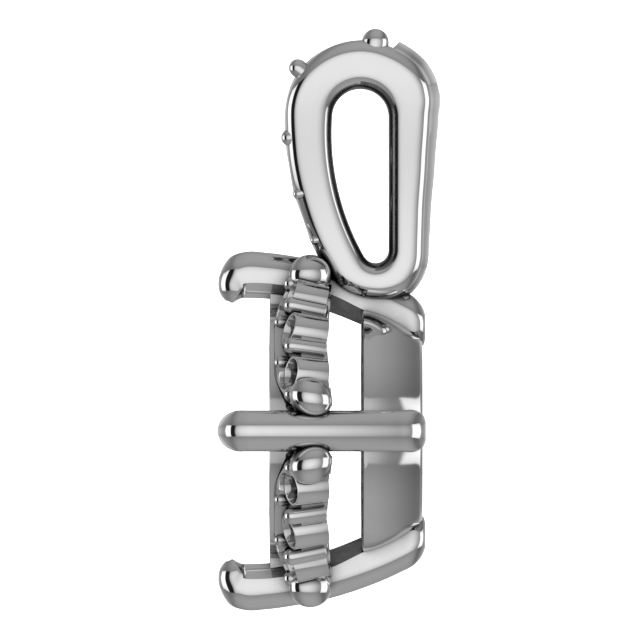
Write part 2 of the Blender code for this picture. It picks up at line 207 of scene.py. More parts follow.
def smoothRows(rows, spacing):  # rows of a table joined by smooth curves, a row every spacing
    places = [0.0]
    for here, there in zip(rows, rows[1:]):
        places.append(places[-1] + math.dist(here[:2], there[:2]))

    def slope(i, column):
        low, high = max(i - 1, 0), min(i + 1, len(rows) - 1)
        if low == i or high == i:
            return (rows[high][column] - rows[low][column]) / (places[high] - places[low])
        left = (rows[i][column] - rows[low][column]) / (places[i] - places[low])
        right = (rows[high][column] - rows[i][column]) / (places[high] - places[i])
        weight = (places[i] - places[low]) / (places[high] - places[low])
        return left * (1.0 - weight) + right * weight

    smooth = []
    for i in range(len(rows) - 1):
        length = places[i + 1] - places[i]
        steps = max(1, round(length / spacing))
        for j in range(steps):
            t = j / steps
            row = []
            for column in range(len(rows[0])):
                a, b = rows[i][column], rows[i + 1][column]
                pull = (2 * t ** 3 - 3 * t ** 2 + 1) * a + (3 * t ** 2 - 2 * t ** 3) * b
                pull += (t ** 3 - 2 * t ** 2 + t) * length * slope(i, column)
                pull += (t ** 3 - t ** 2) * length * slope(i + 1, column)
                row.append(pull)
            smooth.append(tuple(row))
    return smooth + [rows[-1]]


# materials

polish = {
    "colour": (0.80, 0.80, 0.805, 1.0), "worn": (0.775, 0.775, 0.785, 1.0),
    "roughLow": 0.045, "roughHigh": 0.095, "rippleSize": 900.0, "rippleDepth": 0.0006,
    "paintedShadeReach": 0.9, "paintedShadeDark": 0.10, "paintedShadeFrom": 0.35, "paintedShadeTo": 0.92,
}
lighterShadePolish = dict(polish, paintedShadeDark=0.50)  # collets, columns and both rings, which light reaches well: lighter painted shade in their corners
castAndShade = {  # rougher metal left as it came from the mould, where no wheel reaches, its colour darkened as painted shade for hollows and inner faces
    "colour": (0.34, 0.34, 0.345, 1.0), "worn": (0.24, 0.24, 0.245, 1.0),
    "roughLow": 0.16, "roughHigh": 0.26, "rippleSize": 5200.0, "rippleDepth": 0.0016,
    "paintedShadeReach": 0.9, "paintedShadeDark": 0.10, "paintedShadeFrom": 0.30, "paintedShadeTo": 0.92,
}


def metalFinish(name, look):
    material = bpy.data.materials.new(name)
    material.use_nodes = True
    nodes = material.node_tree.nodes
    links = material.node_tree.links
    shader = nodes["Principled BSDF"]
    shader.inputs["Metallic"].default_value = 1.0

    place = nodes.new("ShaderNodeTexCoord")
    clouds = nodes.new("ShaderNodeTexNoise")  # uneven hand polish
    clouds.inputs["Scale"].default_value = look["rippleSize"]
    clouds.inputs["Detail"].default_value = 3.0
    links.new(place.outputs["Object"], clouds.inputs["Vector"])

    tint = nodes.new("ShaderNodeMix")
    tint.data_type = "RGBA"
    tint.inputs["A"].default_value = look["colour"]
    tint.inputs["B"].default_value = look["worn"]
    links.new(clouds.outputs["Fac"], tint.inputs["Factor"])

    corners = nodes.new("ShaderNodeAmbientOcclusion")  # painted shade: the colour darkens in corners and creases, where less light reaches
    corners.samples = 8
    corners.inputs["Distance"].default_value = look["paintedShadeReach"] * mm
    shadeAmount = nodes.new("ShaderNodeMapRange")
    shadeAmount.interpolation_type = "SMOOTHSTEP"
    shadeAmount.inputs["From Min"].default_value = look["paintedShadeFrom"]
    shadeAmount.inputs["From Max"].default_value = look["paintedShadeTo"]
    shadeAmount.inputs["To Min"].default_value = look["paintedShadeDark"]
    shadeAmount.inputs["To Max"].default_value = 1.0
    links.new(corners.outputs["AO"], shadeAmount.inputs["Value"])
    shadedColour = nodes.new("ShaderNodeVectorMath")
    shadedColour.operation = "SCALE"
    links.new(tint.outputs["Result"], shadedColour.inputs[0])
    links.new(shadeAmount.outputs["Result"], shadedColour.inputs["Scale"])
    links.new(shadedColour.outputs["Vector"], shader.inputs["Base Color"])

    gloss = nodes.new("ShaderNodeMapRange")
    gloss.inputs["From Min"].default_value = 0.3
    gloss.inputs["From Max"].default_value = 0.7
    gloss.inputs["To Min"].default_value = look["roughLow"]
    gloss.inputs["To Max"].default_value = look["roughHigh"]
    links.new(clouds.outputs["Fac"], gloss.inputs["Value"])
    links.new(gloss.outputs["Result"], shader.inputs["Roughness"])

    bump = nodes.new("ShaderNodeBump")
    bump.inputs["Strength"].default_value = 0.25
    bump.inputs["Distance"].default_value = look["rippleDepth"] * mm
    links.new(clouds.outputs["Fac"], bump.inputs["Height"])
    links.new(bump.outputs["Normal"], shader.inputs["Normal"])
    return material


polishedMetal = metalFinish("polishedWhiteGold", polish)
lighterShadeMetal = metalFinish("lighterShadeWhiteGold", lighterShadePolish)
castShadedMetal = metalFinish("castShadedWhiteGold", castAndShade)
print("materials made")


def finish(piece, metal=polishedMetal, inside=None):  # inside picks the faces left as cast, painted darker as shade
    piece.data.materials.clear()
    piece.data.materials.append(metal)
    piece.data.materials.append(castShadedMetal)
    for face in piece.data.polygons:
        face.material_index = 1 if inside and inside(face) else 0
    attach(piece, "root")
    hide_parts("pendant_mount")


# bail

bail = {
    "topY": 4.60, "topZ": 1.81, "topRadius": 0.64,     # round top of the eye
    "lowY": 1.585, "lowZ": 1.465, "lowRadius": 0.295,  # round foot of the eye
    "bowRadius": 5.68, "bowLow": 119.6, "bowTop": 85.9,  # long front of the eye, from +Y towards +Z
    "halfWidthLow": 0.80, "halfWidthTop": 1.26, "widenFrom": 0.9, "widenTo": 5.7, "widenPower": 1.25,
    "bandEase": 0.4,
    "outerRound": 0.33, "innerRound": 0.36, "innerFlat": 0.45, "roundSteps": 9, "crownSteps": 6,
    "darkFront": 0.72, "darkBack": 0.83,  # rim faces that turn further sideways than this are polished
    "topStations": 28, "backStations": 20, "lowStations": 28, "bowStations": 36,
}
bailBand = (
    # run round the eye from its top: 0 to 1 down the back, 1 to 2 up the front; thickness; crown
    (0.000, 1.125, 0.02),
    (0.062, 1.114, 0.02),
    (0.067, 1.298, 0.20),
    (0.122, 1.320, 0.20),
    (0.151, 1.298, 0.20),
    (0.177, 1.248, 0.20),
    (0.218, 1.141, 0.19),
    (0.453, 1.057, 0.17),
    (0.695, 0.966, 0.15),
    (0.887, 0.921, 0.13),
    (0.945, 0.985, 0.12),
    (0.991, 0.866, 0.05),
    (1.015, 0.850, 0.02),
    (1.049, 0.912, 0.02),
    (1.323, 0.975, 0.03),
    (1.638, 1.060, 0.04),
    (1.860, 1.114, 0.03),
    (2.000, 1.125, 0.02),
)
bailSeats = (
    # y, z, way it faces from +Y towards +Z, width
    (6.25, 2.41, 25.0, 1.60),
    (4.95, 3.50, 82.0, 1.34),
    (3.49, 3.44, 97.0, 1.14),
    (2.31, 3.11, 108.0, 0.92),
)
bailSeat = {
    "chamfer": 0.04, "lip": 0.12, "depth": 0.42, "throughShare": 0.55, "sides": 64,
    "above": 0.75, "through": 1.75, "darkTo": 1.2, "darkInset": 0.02,
}
bailBeads = (
    # y, z, radius, half the distance across the pair
    (6.31, 1.47, 0.305, 0.86),
    (5.72, 3.23, 0.205, 0.92),
    (4.14, 3.42, 0.190, 0.84),
    (2.86, 3.215, 0.130, 0.75),
    (1.81, 2.835, 0.110, 0.66),
)
bailBead = {"frontFacing": 104.0, "stem": 2.2, "sides": 28}


def eyeStations():  # points round the eye with the way out of it, in (y, z)
    def onArc(centre, radius, angle):
        way = Vector((math.cos(math.radians(angle)), math.sin(math.radians(angle))))
        return centre + way * radius, way

    top = Vector((bail["topY"], bail["topZ"]))
    low = Vector((bail["lowY"], bail["lowZ"]))
    stations = []
    for i in range(bail["topStations"]):
        stations.append(onArc(top, bail["topRadius"], -90.0 * i / bail["topStations"]))
    backTop = onArc(top, bail["topRadius"], -90.0)
    backLow = onArc(low, bail["lowRadius"], -90.0)
    for i in range(bail["backStations"]):
        stations.append((backTop[0].lerp(backLow[0], i / bail["backStations"]), backTop[1]))
    for i in range(bail["lowStations"]):
        angle = -90.0 + (bail["bowLow"] - 270.0) * i / bail["lowStations"]
        stations.append(onArc(low, bail["lowRadius"], angle))
    bowEnd = onArc(top, bail["topRadius"], bail["bowTop"])
    bowCentre = bowEnd[0] - bowEnd[1] * bail["bowRadius"]
    for i in range(bail["bowStations"]):
        angle = bail["bowLow"] + (bail["bowTop"] - bail["bowLow"]) * i / bail["bowStations"]
        stations.append(onArc(bowCentre, bail["bowRadius"], angle))
    for i in range(bail["topStations"]):
        stations.append(onArc(top, bail["topRadius"], bail["bowTop"] * (1.0 - i / bail["topStations"])))
    return stations


def withRuns(stations):  # adds each station's run, and stations at both sides of the band's step
    lengths = [0.0]
    for (here, _), (there, _) in zip(stations, stations[1:] + stations[:1]):
        lengths.append(lengths[-1] + (there - here).length)
    runs = [2.0 * length / lengths[-1] for length in lengths]
    full = []
    for i, (point, way) in enumerate(stations):
        full.append((point, way, runs[i]))
        there, nextWay = stations[(i + 1) % len(stations)]
        for step in (bailBand[1][0], bailBand[2][0]):
            if runs[i] < step < runs[i + 1]:
                share = (step - runs[i]) / (runs[i + 1] - runs[i])
                full.append((point.lerp(there, share), way.lerp(nextWay, share).normalized(), step))
    return full


def bandAt(run):
    for low, high in zip(bailBand, bailBand[1:]):
        if low[0] <= run <= high[0]:
            share = (run - low[0]) / (high[0] - low[0])
            if low is not bailBand[1]:
                eased = share * share * (3.0 - 2.0 * share)
                share = eased * bail["bandEase"] + share * (1.0 - bail["bandEase"])
            return tuple(a + (b - a) * share for a, b in zip(low[1:], high[1:]))
    return bailBand[-1][1:]


def bailHalfWidth(y):  # widens upward in a gentle S
    share = min(max((y - bail["widenFrom"]) / (bail["widenTo"] - bail["widenFrom"]), 0.0), 1.0)
    share = share ** bail["widenPower"]
    share = share * share * (3.0 - 2.0 * share)
    return bail["halfWidthLow"] + (bail["halfWidthTop"] - bail["halfWidthLow"]) * share


def bailSection(point, way, run):
    thickness, crown = bandAt(run)
    shoulder = thickness - crown
    rounding = bail["outerRound"]
    innerRounding = bail["innerRound"]

    def place(x, out, width):
        return Vector((x + width, point.x + way.x * out, point.y + way.y * out))

    half = [(0.0, 0.0, False), (bail["innerFlat"], 0.0, False)]
    steps = bail["roundSteps"]
    turns = [0.5 * math.pi * i / steps for i in range(steps + 1)]
    for turn in turns:
        half.append((-innerRounding * (1.0 - math.sin(turn)), innerRounding * (1.0 - math.cos(turn)), True))
    half.append((0.0, 0.5 * shoulder, True))
    for turn in turns:
        out = shoulder - rounding * (1.0 - math.sin(turn))
        half.append((-rounding * (1.0 - math.cos(turn)), out, True))
    for i in range(1, bail["crownSteps"] + 1):
        half.append((1.0 - i / bail["crownSteps"], None, False))

    section = []
    for across, out, fromSide in half:
        if out is None:
            edge = bailHalfWidth(point.x + way.x * shoulder) - rounding
            section.append(place(across * edge, shoulder + crown * (1.0 - across ** 2), 0.0))
        elif fromSide:
            section.append(place(across, out, bailHalfWidth(point.x + way.x * out)))
        else:
            section.append(place(across * bail["halfWidthLow"], out, 0.0))
    return section + [Vector((-p.x, p.y, p.z)) for p in reversed(section[1:-1])]


def makeBail():
    stations = withRuns(eyeStations())
    band = sweep("bail", [bailSection(*station) for station in stations], closed=True)

    cutters = []
    for y, z, facing, width in bailSeats:
        way = Vector((0.0, -math.cos(math.radians(facing)), -math.sin(math.radians(facing))))
        radius = 0.5 * width
        through = radius * bailSeat["throughShare"]
        levels = [
            (-bailSeat["above"], radius + bailSeat["chamfer"] + bailSeat["above"]),
            (bailSeat["chamfer"], radius),
            (bailSeat["lip"], radius),
            (bailSeat["depth"], through),
            (bailSeat["through"], through),
        ]
        cutters.append(pullOut("seatCutter", Vector((0.0, y, z)), way, levels, bailSeat["sides"]))
    cutter = joined("seatCutters", cutters)
    addModifier(band, "BOOLEAN", operation="DIFFERENCE", solver="EXACT", object=cutter, use_self=True)
    bpy.data.objects.remove(cutter)
    shade(band, angle=18)  # keeps the crown's edge crisp
    finish(band, inside=lambda face: insideEye(face) or insideSeat(face.center))


def insideEye(face):  # the eye's wall and the deeper half of its rounded rims, painted dark as shade
    if abs(face.normal.x) > (bail["darkBack"] if face.normal.z > 0.0 else bail["darkFront"]):
        return False
    centre = face.center / mm
    top = Vector((bail["topY"], bail["topZ"]))
    low = Vector((bail["lowY"], bail["lowZ"]))
    point = Vector((centre.y, centre.z))
    share = min(max((point - low).dot(top - low) / (top - low).length_squared, 0.0), 1.0)
    middle = low.lerp(top, share)
    away = point - middle
    facing = Vector((face.normal.y, face.normal.z))
    reach = bail["lowRadius"] + (bail["topRadius"] - bail["lowRadius"]) * share
    return facing.dot(away) < 0.0 and away.length < reach + bail["innerRound"]


# the seats' inner walls, painted dark as shade
def insideSeat(centre):
    for y, z, facing, width in bailSeats:
        way = Vector((0.0, math.cos(math.radians(facing)), math.sin(math.radians(facing))))
        offset = centre / mm - Vector((0.0, y, z))
        depth = -offset.dot(way)
        aside = (offset + way * depth).length
        if bailSeat["lip"] < depth < bailSeat["darkTo"] and aside < 0.5 * width - bailSeat["darkInset"]:
            return True
    return False


def makeBailBeads():
    beads = []
    for y, z, radius, spacing in bailBeads:
        facing = Vector((0.0, y - bail["topY"], z - bail["topZ"])).normalized()
        if y < bail["topY"]:
            turn = math.radians(bailBead["frontFacing"])
            facing = Vector((0.0, math.cos(turn), math.sin(turn)))
        levels = domeLevels(radius, bailBead["stem"] * radius)
        for side in (-1, 1):
            tip = Vector((side * spacing, y, z)) + facing * radius
            beads.append(pullOut("bead", tip, -facing, levels, bailBead["sides"]))
    piece = joined("bailBeads", beads)
    shade(piece, angle=60)
    finish(piece)


makeBail()
makeBailBeads()
print("bail made")


# prongs

prong = {
    "halfWidth": 0.47, "flatShare": 0.62, "flatWidth": 0.29, "ridgeWidth": 0.12,
    "roundSteps": 11, "spacing": 0.07, "edge": 0.018,
    "castShadeFrom": 0.6, "castShadeTo": 3.2, "castShadeInward": 0.25, "castShadeAside": 0.95,
}
prongRows = (
    # outer z, radius; flank edge z, radius; ridge z, radius; share of the full width
    (0.33, 2.62, 0.33, 2.36, 0.33, 2.08, 0.45),
    (0.37, 2.77, 0.37, 2.34, 0.37, 1.96, 0.72),
    (0.45, 2.90, 0.45, 2.30, 0.45, 1.92, 0.88),
    (0.58, 3.04, 0.58, 2.25, 0.58, 1.95, 1.00),
    (0.93, 3.23, 0.93, 2.40, 0.93, 2.05, 1.00),
    (1.45, 3.46, 1.45, 2.62, 1.45, 2.27, 1.00),
    (1.80, 3.59, 1.80, 2.78, 1.80, 2.42, 1.00),
    (2.48, 3.80, 2.48, 3.10, 2.48, 2.69, 1.00),
    (3.37, 3.98, 3.37, 3.28, 3.37, 2.92, 1.00),
    (3.89, 4.05, 3.89, 3.35, 3.89, 3.00, 1.00),
    (4.45, 4.07, 4.45, 3.35, 4.45, 3.02, 1.00),
    (4.76, 3.96, 4.48, 3.28, 4.52, 3.01, 1.00),
    (4.96, 3.68, 4.53, 3.18, 4.58, 2.98, 0.92),
    (5.04, 3.30, 4.59, 3.09, 4.64, 2.95, 0.82),
    (4.99, 3.10, 4.64, 3.02, 4.67, 2.93, 0.71),
    (4.88, 2.96, 4.68, 2.95, 4.72, 2.91, 0.45),
)


def prongSection(row):
    outerZ, outerR, flankZ, flankR, ridgeZ, ridgeR, share = row
    outer = Vector((outerR, headY, outerZ))
    flank = Vector((flankR, headY, flankZ))
    ridge = Vector((ridgeR, headY, ridgeZ))
    halfWidth = prong["halfWidth"] * share
    inward = (flank - outer).normalized()
    half = []
    for i in range(prong["roundSteps"] + 1):
        turn = 0.5 * math.pi * i / prong["roundSteps"]
        sunk = min(halfWidth, (flank - outer).length) * (1.0 - math.cos(turn))
        half.append((outer + inward * sunk, halfWidth * math.sin(turn)))
    half.append((half[-1][0].lerp(flank, 0.5), halfWidth))
    half.append((flank, halfWidth))
    half.append((flank.lerp(ridge, prong["flatShare"]), prong["flatWidth"] * share))
    half.append((ridge, prong["ridgeWidth"] * share))
    farSide = [(place, -width) for place, width in reversed(half[1:])]
    return [place + Vector((0.0, width, 0.0)) for place, width in half + farSide]


def facesHead(face):  # the flats and the ridge on the prong's inner side, painted dark as shade
    centre = face.center / mm
    outward = Vector((centre.x, centre.y - headY, 0.0)).normalized()
    side = Vector((-outward.y, outward.x, 0.0))
    if abs(face.normal.dot(side)) >= prong["castShadeAside"]:
        return False
    inward = face.normal.dot(outward) < -prong["castShadeInward"]
    return inward and prong["castShadeFrom"] < centre.z < prong["castShadeTo"]


def makeProngs():
    rows = smoothRows(prongRows, prong["spacing"])
    first = sweep("prong_0", [prongSection(row) for row in rows])
    softenEdges(first, prong["edge"], angle=28)
    shade(first, angle=30)
    for index in (1, 2, 3):
        finish(copyTurned(first, f"prong_{index}", 90 * index), inside=facesHead)
    finish(first, inside=facesHead)


makeProngs()
print("prongs made")


# rings

baseRing = {
    "backZ": 0.40, "frontZ": 1.795, "radiusFront": 2.79, "radiusBack": 2.10,
    "wall": 0.72, "curvePower": 1.7, "curveSteps": 18,
    "frontBevelIn": 0.034, "frontBevelDeep": 0.06, "frontBevelFrom": 1.70, "frontBevelFacing": (0.3, 0.8),
    "backBevelIn": 0.05, "backBevelOut": 0.04, "backBevelUp": 0.055, "edge": 0.04, "steps": 144,
}
galleryRing = {
    "backZ": 2.95, "frontZ": 3.89, "radius": 2.80, "wall": 0.62, "slope": 0.85,
    "edge": 0.035, "steps": 144,
}


def makeBaseRing():
    frontRadius, frontZ = baseRing["radiusFront"], baseRing["frontZ"]
    backRadius, backZ = baseRing["radiusBack"], baseRing["backZ"]
    outer = []
    for i in range(baseRing["curveSteps"] + 1):
        share = i / baseRing["curveSteps"]
        narrowing = (frontRadius - backRadius) * share ** baseRing["curvePower"]
        outer.append((frontRadius - narrowing, frontZ + (backZ - frontZ) * share))
    inner = [(radius - baseRing["wall"], z) for radius, z in reversed(outer)]
    outer[0] = (frontRadius - baseRing["frontBevelIn"], frontZ)
    outer.insert(1, (frontRadius, frontZ - baseRing["frontBevelDeep"]))
    outer[-1] = (backRadius - baseRing["backBevelIn"], backZ)
    outer.insert(-1, (backRadius + baseRing["backBevelOut"], backZ + baseRing["backBevelUp"]))
    ring = turnRound("baseRing", outer + inner, baseRing["steps"])
    softenEdges(ring, baseRing["edge"], angle=45, segments=3)
    shade(ring, angle=15)
    # the inner faces and the front bevel take the dark cast metal: painted shade
    finish(ring, lighterShadeMetal, inside=lambda face: facesAxis(face) or onFrontBevel(face))


def onFrontBevel(face):
    low, high = baseRing["frontBevelFacing"]
    return low < face.normal.z < high and face.center.z > baseRing["frontBevelFrom"] * mm


def facesAxis(face):
    outward = Vector((face.center.x, face.center.y - headY * mm, 0.0)).normalized()
    return face.normal.dot(outward) < -0.5


def makeGalleryRing():
    inner = galleryRing["radius"] - galleryRing["wall"]
    profile = [
        (galleryRing["radius"], galleryRing["frontZ"]),
        (galleryRing["radius"], galleryRing["backZ"]),
        (inner, galleryRing["backZ"]),
        (inner, galleryRing["frontZ"] - galleryRing["wall"] * galleryRing["slope"]),
    ]
    ring = turnRound("galleryRing", profile, galleryRing["steps"])
    softenEdges(ring, galleryRing["edge"], angle=30, segments=3)
    shade(ring)
    # the inner faces take the dark cast metal: painted shade
    finish(ring, lighterShadeMetal, inside=lambda face: facesAxis(face) and face.normal.z < 0.3)


makeBaseRing()
makeGalleryRing()
print("rings made")


# bridges from the prongs to the gallery ring

bridge = {
    "root": 2.62, "reach": 3.28, "rootHalfWidth": 0.44, "halfWidth": 0.27, "flare": 0.14,
    "overlap": 0.05, "inset": 0.02, "edge": 0.03, "steps": 8,
}


def makeBridges():
    low = galleryRing["backZ"] + bridge["inset"]
    high = galleryRing["frontZ"] - bridge["inset"]
    widths = [(bridge["root"], bridge["rootHalfWidth"])]
    for i in range(bridge["steps"] + 1):
        share = i / bridge["steps"]
        radius = galleryRing["radius"] - bridge["overlap"] + (bridge["flare"] + bridge["overlap"]) * share
        curve = 1.0 - math.sqrt(1.0 - (1.0 - share) ** 2)
        halfWidth = bridge["halfWidth"] + (bridge["rootHalfWidth"] - bridge["halfWidth"]) * curve
        widths.append((radius, halfWidth))
    widths.append((bridge["reach"], bridge["halfWidth"]))
    sections = []
    for radius, halfWidth in widths:
        corners = ((-halfWidth, low), (halfWidth, low), (halfWidth, high), (-halfWidth, high))
        sections.append([Vector((radius, headY + y, z)) for y, z in corners])
    first = sweep("bridge_0", sections)
    softenEdges(first, bridge["edge"], angle=50)
    shade(first)
    for index in (1, 2, 3):
        finish(copyTurned(first, f"bridge_{index}", 90 * index))
    finish(first)


makeBridges()
print("bridges made")


# petals of the halo

petal = {
    "frontZ": 3.88, "slope": 0.53, "innerRadius": 2.61, "innerBow": 0.07, "halfLength": 2.05,
    "outerRadius": 3.42, "backZ": 2.62, "backDrop": 0.16, "lean": 0.25,
    "border": 0.22, "borderShare": 0.45, "ledgeDrop": 0.29, "ledgeStep": 0.02, "tipShare": 0.985,
    "stations": 48, "across": 4, "edge": 0.018, "middle": 45.0,
}
collets = (
    # angle from the prong, distance from the head's axis
    (23.0, 3.35),
    (45.0, 3.27),
    (67.0, 3.35),
)
collet = {
    "radius": 0.40, "bore": 0.340, "sink": 0.085, "slope": 0.46, "sides": 72, "edge": 0.012, "tall": 0.6,
    "clearance": 0.02, "cutterDrop": 2.5, "cutterLength": 4.0,
}
columns = {
    "angles": (14.0, 34.1, 55.9, 76.0), "centre": 3.50, "radius": 0.19, "tipZ": 3.555, "sides": 40,
    "edge": 0.025,
}
beads = {"angles": (32.2, 57.8), "centre": 2.96, "radius": 0.155, "tipZ": 3.775, "rootZ": 3.35, "sides": 32}
balls = {
    "angle": 12.0, "centre": 3.62, "z": 2.95, "long": 0.505, "short": 0.435, "depth": 0.47, "turn": 32.0,
    "rings": 32, "sides": 48, "rootFrom": 0.33, "rootLength": 0.18,
}


def petalFrontZ(radius):
    return petal["frontZ"] - petal["slope"] * (radius - petal["innerRadius"])


def leaningPoint(radius, angle, z, drop):  # drop below a point, leaning in to the head's axis
    return onHead(radius - petal["lean"] * drop, angle, z - drop)


def leaningWay(angle):
    turn = math.radians(angle)
    return Vector((petal["lean"] * math.cos(turn), petal["lean"] * math.sin(turn), 1.0)).normalized()


def petalSection(share):  # a thin border round the centre stone, and a lower ledge outside it
    bow = 4.0 * petal["innerBow"]
    inner = Vector((petal["innerRadius"] + bow * share ** 2, petal["halfLength"] * share))
    tip = math.atan2(petal["halfLength"], petal["innerRadius"] + bow)
    tipRadius = math.hypot(petal["halfLength"], petal["innerRadius"] + bow)
    outerRadius = petal["outerRadius"] + (tipRadius - petal["outerRadius"]) * share ** 6
    outer = Vector((outerRadius * math.cos(tip * share), outerRadius * math.sin(tip * share)))
    width = (outer - inner).length
    border = min(petal["border"], petal["borderShare"] * width) / width
    ledge = border + petal["ledgeStep"]
    places = [(0.0, 0.0), (border, 0.0)]
    for i in range(petal["across"] + 1):
        places.append((ledge + (1.0 - ledge) * i / petal["across"], petal["ledgeDrop"]))
    front, back = [], []
    for place, sunk in places:
        point = inner.lerp(outer, place)
        radius = point.length
        angle = petal["middle"] + math.degrees(math.atan2(point.y, point.x))
        z = petalFrontZ(radius) - sunk
        drop = z - (petal["backZ"] - petal["backDrop"] * abs(share))
        front.append(onHead(radius, angle, z))
        back.append(leaningPoint(radius, angle, z, drop))
    return front + list(reversed(back))


def makePetalWall():
    count = petal["stations"]
    sections = [petalSection(petal["tipShare"] * (2.0 * i / count - 1.0)) for i in range(count + 1)]
    wall = sweep("petal_0", sections)
    radius = collet["bore"] + collet["clearance"]
    levels = [(0.0, radius), (collet["cutterLength"], radius)]
    cutters = []
    for angle, centre in collets:
        start = leaningPoint(centre, angle, petalFrontZ(centre), collet["cutterDrop"])
        cutters.append(pullOut("boreCutter", start, leaningWay(angle), levels, collet["sides"]))
    cutter = joined("boreCutters", cutters)
    addModifier(wall, "BOOLEAN", operation="DIFFERENCE", solver="EXACT", object=cutter, use_self=True)
    bpy.data.objects.remove(cutter)
    softenEdges(wall, petal["edge"], angle=50)
    shade(wall)
    return wall


def makeCollets():
    made = []
    for angle, centre in collets:
        front = petalFrontZ(centre) - collet["sink"]
        drop = front - petal["backZ"]
        start = leaningPoint(centre, angle, front, drop)
        levels = [(0.0, collet["radius"]), (drop + collet["tall"], collet["radius"])]
        tube = pullOut("collet", start, leaningWay(angle), levels, collet["sides"])
        editOf(tube)
        bpy.ops.mesh.select_all(action="SELECT")
        turn = math.radians(angle)
        slope = collet["slope"]
        tilt = Vector((slope * math.cos(turn), slope * math.sin(turn), 1.0)).normalized()
        bpy.ops.mesh.bisect(plane_co=onHead(centre, angle, front) * mm, plane_no=tilt,
                            use_fill=True, clear_outer=True, threshold=0.0001 * mm)
        selectFaces(tube, lambda face: len(face.verts) > 4)
        bpy.ops.mesh.inset(thickness=(collet["radius"] - collet["bore"]) * mm, use_even_offset=True,
                           use_individual=True)
        bpy.ops.mesh.bridge_edge_loops()
        bpy.ops.mesh.select_all(action="SELECT")
        bpy.ops.mesh.normals_make_consistent(inside=False)
        toObjectMode()
        made.append(tube)
    piece = joined("collets_0", made)
    softenEdges(piece, collet["edge"], angle=45)
    shade(piece)
    return piece


def makeColumns():
    made = []
    for angle in columns["angles"]:
        way = leaningWay(angle)
        tip = onHead(columns["centre"], angle, columns["tipZ"])
        length = (columns["tipZ"] - petal["backZ"]) / way.z
        made.append(pullOut("column", tip, -way, domeLevels(columns["radius"], length), columns["sides"]))
    piece = joined("columns_0", made)
    softenEdges(piece, columns["edge"], angle=60)
    shade(piece, angle=50)
    return piece


def makeBeads():
    made = []
    for angle in beads["angles"]:
        way = leaningWay(angle)
        tip = onHead(beads["centre"], angle, beads["tipZ"])
        length = (beads["tipZ"] - beads["rootZ"]) / way.z
        made.append(pullOut("bead", tip, -way, domeLevels(beads["radius"], length), beads["sides"]))
    piece = joined("beads_0", made)
    shade(piece, angle=60)
    return piece


def makeBalls():  # flattened a little and leaning, one at each end of the petal
    made = []
    for side in (1, -1):
        startFresh()
        angle = balls["angle"] if side == 1 else 90.0 - balls["angle"]
        centre = onHead(balls["centre"], angle, balls["z"]) * mm
        bpy.ops.mesh.primitive_uv_sphere_add(segments=balls["sides"], ring_count=balls["rings"], radius=mm)
        ball = bpy.context.object
        ball.scale = (balls["depth"], balls["short"], balls["long"])
        ball.rotation_euler = (-math.radians(balls["turn"]), 0.0, 0.0)
        bpy.ops.object.transform_apply(location=True, rotation=True, scale=True)
        if side == -1:  # the far end is the mirror image in the petal's middle
            editOf(ball)
            mesh = bmesh.from_edit_mesh(ball.data)
            for vert in mesh.verts:
                vert.co = Vector((vert.co.y, vert.co.x, vert.co.z))
            bmesh.update_edit_mesh(ball.data)
            bpy.ops.mesh.select_all(action="SELECT")
            bpy.ops.mesh.normals_make_consistent(inside=False)
            toObjectMode()
        ball.location = centre
        bpy.ops.object.transform_apply(location=True, rotation=True, scale=True)
        editOf(ball)
        inward = (Vector((0.0, headY * mm, centre.z)) - centre).normalized()
        rootFrom = balls["rootFrom"] * mm
        selectFaces(ball, lambda face: (face.calc_center_median() - centre).dot(inward) > rootFrom)
        root = inward * balls["rootLength"] * mm  # the ball's root in the petal
        bpy.ops.mesh.extrude_region_move(TRANSFORM_OT_translate={"value": root})
        toObjectMode()
        made.append(ball)
    piece = joined("balls_0", made)
    shade(piece, angle=50)
    return piece


def makePetals():
    for first in (makePetalWall(), makeCollets(), makeColumns(), makeBeads(), makeBalls()):
        kind = first.name.split("_")[0]
        metal = lighterShadeMetal if kind in ("collets", "columns") else polishedMetal
        for index in (1, 2, 3):
            finish(copyTurned(first, f"{kind}_{index}", 90 * index), metal)
        finish(first, metal)


makePetals()
print("petals made")


# floor, light and camera

view = {
    "pixelsPerMm": 44.0, "frame": 640, "middleY": -0.0057, "middleZ": 2.727,
    "tilt": 0.25, "distance": 1.8,
}
paper = {"size": 2.4, "colour": (0.9, 0.9, 0.9, 1.0), "rough": 0.9, "glow": 0.55}
softLight = {"strength": 3.6, "angle": 75.0}


def makeFloor():
    startFresh()
    bpy.ops.mesh.primitive_plane_add(size=paper["size"], location=(0.0, 0.0, 0.0))
    floor = bpy.context.object
    floor.name = "floor"
    material = bpy.data.materials.new("palePaper")
    material.use_nodes = True
    shader = material.node_tree.nodes["Principled BSDF"]
    shader.inputs["Base Color"].default_value = paper["colour"]
    shader.inputs["Roughness"].default_value = paper["rough"]
    shader.inputs["Specular IOR Level"].default_value = 0.0
    shader.inputs["Emission Color"].default_value = (1.0, 1.0, 1.0, 1.0)
    shader.inputs["Emission Strength"].default_value = paper["glow"]  # lit from below, for a faint shadow
    floor.data.materials.append(material)
    floor.visible_glossy = False  # the metal mirrors the studio and not the paper
    floor.visible_shadow = False


def makeLight():
    startFresh()
    bpy.ops.object.light_add(type="SUN", location=(0.0, 0.0, 0.5))
    light = bpy.context.object
    light.data.energy = softLight["strength"]
    light.data.angle = math.radians(softLight["angle"])
    light.visible_glossy = False


# the studio's walls as a mirror ball shows them from the camera: across runs from the mount's front,
# on the left, to its back, up runs to the bail, and both go from -1 to 1 over the ball

